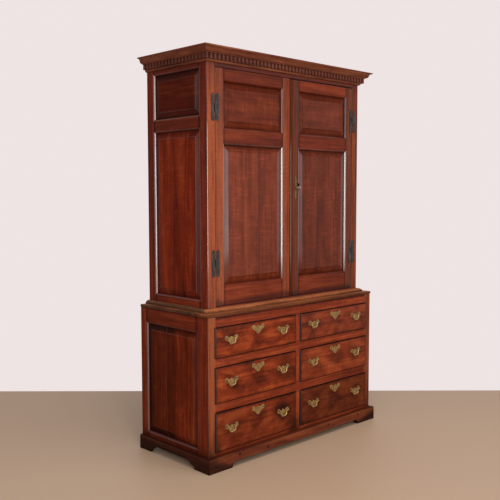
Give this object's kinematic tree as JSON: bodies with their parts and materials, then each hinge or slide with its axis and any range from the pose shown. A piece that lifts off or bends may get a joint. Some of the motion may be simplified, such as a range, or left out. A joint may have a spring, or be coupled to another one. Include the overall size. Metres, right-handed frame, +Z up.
{
  "type": "linen press",
  "caption": "Oak linen press: a cupboard with panelled, hinged and locking doors under a dentil cornice, standing on a chest of lipped drawers with swinging brass bail handles.",
  "frame": {"origin": "on the floor under the middle of the plinth's outline", "axes": "+Z up, front of the press towards -Y, +X to the right as seen from the front"},
  "size_m": [1.28, 0.547, 2],
  "materials": {
    "oak": "waxed and polished",
    "inside_oak": "unpolished",
    "brass": "dull, age-toned",
    "iron": "blackened",
    "lock_steel": "worn bright"
  },
  "bodies": {
    "carcase": {"cornice": "oak", "dentil_courses": "oak", "waist_moulding": "oak", "upper_posts": "oak", "upper_rails": "oak", "upper_side_panels": "oak", "upper_boards": "inside_oak", "upper_back_boards": "inside_oak", "shelves": "inside_oak", "hinge_post_leaves": "iron", "lower_top_board": "oak", "lower_posts": "oak", "lower_side_rails": "oak", "lower_side_panels": "oak", "drawer_frame": "oak", "drawer_runners": "inside_oak", "lower_back_boards": "inside_oak", "plinth_boards": "oak"},
    "left_door": {"left_door_stiles": "oak", "left_door_rails": "oak", "left_door_panels": "oak", "left_door_hinge_leaves": "iron"},
    "right_door": {"right_door_stiles": "oak", "right_door_rails": "oak", "right_door_panels": "oak", "right_door_hinge_leaves": "iron", "lock_case": "lock_steel", "door_escutcheon": "brass"},
    "key": {"key": "lock_steel"},
    "lock_bolt": {"lock_bolt": "lock_steel"},
    "top_left_drawer": {"top_left_drawer_front": "oak", "top_left_drawer_box": "inside_oak", "top_left_drawer_brasses": "brass"},
    "top_left_drawer_left_bail": {"top_left_drawer_left_bail": "brass"},
    "top_left_drawer_right_bail": {"top_left_drawer_right_bail": "brass"},
    "top_right_drawer": {"top_right_drawer_front": "oak", "top_right_drawer_box": "inside_oak", "top_right_drawer_brasses": "brass"},
    "top_right_drawer_left_bail": {"top_right_drawer_left_bail": "brass"},
    "top_right_drawer_right_bail": {"top_right_drawer_right_bail": "brass"},
    "middle_left_drawer": {"middle_left_drawer_front": "oak", "middle_left_drawer_box": "inside_oak", "middle_left_drawer_brasses": "brass"},
    "middle_left_drawer_left_bail": {"middle_left_drawer_left_bail": "brass"},
    "middle_left_drawer_right_bail": {"middle_left_drawer_right_bail": "brass"},
    "middle_right_drawer": {"middle_right_drawer_front": "oak", "middle_right_drawer_box": "inside_oak", "middle_right_drawer_brasses": "brass"},
    "middle_right_drawer_left_bail": {"middle_right_drawer_left_bail": "brass"},
    "middle_right_drawer_right_bail": {"middle_right_drawer_right_bail": "brass"},
    "bottom_left_drawer": {"bottom_left_drawer_front": "oak", "bottom_left_drawer_box": "inside_oak", "bottom_left_drawer_brasses": "brass"},
    "bottom_left_drawer_left_bail": {"bottom_left_drawer_left_bail": "brass"},
    "bottom_left_drawer_right_bail": {"bottom_left_drawer_right_bail": "brass"},
    "bottom_right_drawer": {"bottom_right_drawer_front": "oak", "bottom_right_drawer_box": "inside_oak", "bottom_right_drawer_brasses": "brass"},
    "bottom_right_drawer_left_bail": {"bottom_right_drawer_left_bail": "brass"},
    "bottom_right_drawer_right_bail": {"bottom_right_drawer_right_bail": "brass"}
  },
  "joints": [
    {"name": "left_door_hinge", "type": "hinge", "parent": "carcase", "child": "left_door", "pos_m": [-0.519, -0.1945, 1.355], "axis": [0, 0, -1], "range_deg": [0, 170]},
    {"name": "right_door_hinge", "type": "hinge", "parent": "carcase", "child": "right_door", "pos_m": [0.519, -0.1945, 1.355], "axis": [0, 0, 1], "range_deg": [0, 170]},
    {"name": "key_turn", "type": "hinge", "parent": "right_door", "child": "key", "pos_m": [0.0445, -0.18, 1.35], "axis": [0, -1, 0], "range_deg": [0, 180]},
    {"name": "bolt_throw", "type": "slide", "parent": "right_door", "child": "lock_bolt", "axis": [-1, 0, 0], "range_m": [0, 0.012]},
    {"name": "top_left_drawer_slide", "type": "slide", "parent": "carcase", "child": "top_left_drawer", "axis": [0, -1, 0], "range_m": [0, 0.36]},
    {"name": "top_left_drawer_left_bail_swing", "type": "hinge", "parent": "top_left_drawer", "child": "top_left_drawer_left_bail", "pos_m": [-0.4795, -0.2646, 0.632], "axis": [-1, 0, 0], "range_deg": [-8, 165]},
    {"name": "top_left_drawer_right_bail_swing", "type": "hinge", "parent": "top_left_drawer", "child": "top_left_drawer_right_bail", "pos_m": [-0.1195, -0.2646, 0.632], "axis": [-1, 0, 0], "range_deg": [-8, 165]},
    {"name": "top_right_drawer_slide", "type": "slide", "parent": "carcase", "child": "top_right_drawer", "axis": [0, -1, 0], "range_m": [0, 0.36]},
    {"name": "top_right_drawer_left_bail_swing", "type": "hinge", "parent": "top_right_drawer", "child": "top_right_drawer_left_bail", "pos_m": [0.1195, -0.2646, 0.632], "axis": [-1, 0, 0], "range_deg": [-8, 165]},
    {"name": "top_right_drawer_right_bail_swing", "type": "hinge", "parent": "top_right_drawer", "child": "top_right_drawer_right_bail", "pos_m": [0.4795, -0.2646, 0.632], "axis": [-1, 0, 0], "range_deg": [-8, 165]},
    {"name": "middle_left_drawer_slide", "type": "slide", "parent": "carcase", "child": "middle_left_drawer", "axis": [0, -1, 0], "range_m": [0, 0.36]},
    {"name": "middle_left_drawer_left_bail_swing", "type": "hinge", "parent": "middle_left_drawer", "child": "middle_left_drawer_left_bail", "pos_m": [-0.4795, -0.2646, 0.428], "axis": [-1, 0, 0], "range_deg": [-8, 165]},
    {"name": "middle_left_drawer_right_bail_swing", "type": "hinge", "parent": "middle_left_drawer", "child": "middle_left_drawer_right_bail", "pos_m": [-0.1195, -0.2646, 0.428], "axis": [-1, 0, 0], "range_deg": [-8, 165]},
    {"name": "middle_right_drawer_slide", "type": "slide", "parent": "carcase", "child": "middle_right_drawer", "axis": [0, -1, 0], "range_m": [0, 0.36]},
    {"name": "middle_right_drawer_left_bail_swing", "type": "hinge", "parent": "middle_right_drawer", "child": "middle_right_drawer_left_bail", "pos_m": [0.1195, -0.2646, 0.428], "axis": [-1, 0, 0], "range_deg": [-8, 165]},
    {"name": "middle_right_drawer_right_bail_swing", "type": "hinge", "parent": "middle_right_drawer", "child": "middle_right_drawer_right_bail", "pos_m": [0.4795, -0.2646, 0.428], "axis": [-1, 0, 0], "range_deg": [-8, 165]},
    {"name": "bottom_left_drawer_slide", "type": "slide", "parent": "carcase", "child": "bottom_left_drawer", "axis": [0, -1, 0], "range_m": [0, 0.36]},
    {"name": "bottom_left_drawer_left_bail_swing", "type": "hinge", "parent": "bottom_left_drawer", "child": "bottom_left_drawer_left_bail", "pos_m": [-0.4795, -0.2646, 0.2015], "axis": [-1, 0, 0], "range_deg": [-8, 165]},
    {"name": "bottom_left_drawer_right_bail_swing", "type": "hinge", "parent": "bottom_left_drawer", "child": "bottom_left_drawer_right_bail", "pos_m": [-0.1195, -0.2646, 0.2015], "axis": [-1, 0, 0], "range_deg": [-8, 165]},
    {"name": "bottom_right_drawer_slide", "type": "slide", "parent": "carcase", "child": "bottom_right_drawer", "axis": [0, -1, 0], "range_m": [0, 0.36]},
    {"name": "bottom_right_drawer_left_bail_swing", "type": "hinge", "parent": "bottom_right_drawer", "child": "bottom_right_drawer_left_bail", "pos_m": [0.1195, -0.2646, 0.2015], "axis": [-1, 0, 0], "range_deg": [-8, 165]},
    {"name": "bottom_right_drawer_right_bail_swing", "type": "hinge", "parent": "bottom_right_drawer", "child": "bottom_right_drawer_right_bail", "pos_m": [0.4795, -0.2646, 0.2015], "axis": [-1, 0, 0], "range_deg": [-8, 165]}
  ],
  "couplings": [
    {"joint": "key_turn", "follows": "bolt_throw", "rad_per_m": 261.8}
  ]
}
